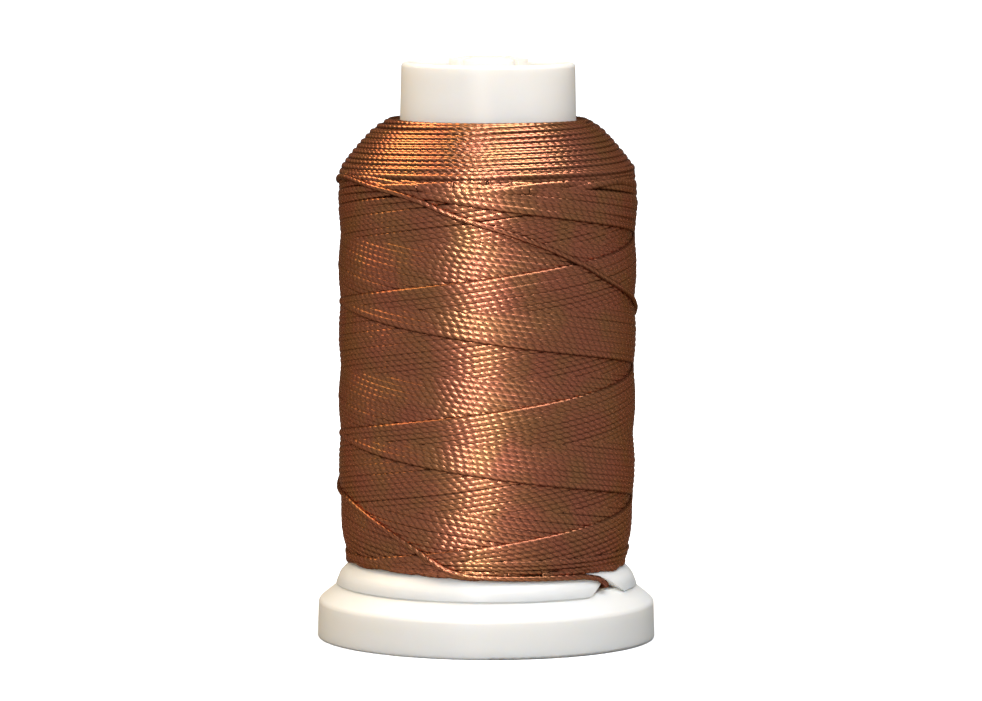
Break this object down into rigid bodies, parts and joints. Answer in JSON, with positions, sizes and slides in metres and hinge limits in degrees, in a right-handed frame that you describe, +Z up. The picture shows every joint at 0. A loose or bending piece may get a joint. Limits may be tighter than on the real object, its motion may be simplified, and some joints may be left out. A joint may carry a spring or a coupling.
{
  "type": "thread spool",
  "caption": "Spool of thick twisted thread, cross-wound on a moulded barrel, with a foot that snaps down to open a catch for the thread's end.",
  "frame": {"origin": "on the spool's axis, in the plane that its foot stands on", "axes": "+Z up the axis towards the collar, -Y towards the viewer, +X to the viewer's right"},
  "size_m": [0.041, 0.041, 0.0706],
  "materials": {
    "white_plastic": "satin white moulding",
    "thread": "lustrous brown three-ply twist"
  },
  "bodies": {
    "foot": {"snap_foot": "white_plastic"},
    "barrel": {"spool_barrel": "white_plastic", "wound_thread": "thread", "last_turn": "thread", "thread_tail": "thread"}
  },
  "joints": [
    {"name": "catch_slide", "type": "slide", "parent": "foot", "child": "barrel", "axis": [0, 0, 1], "range_m": [0, 0.0025]}
  ]
}
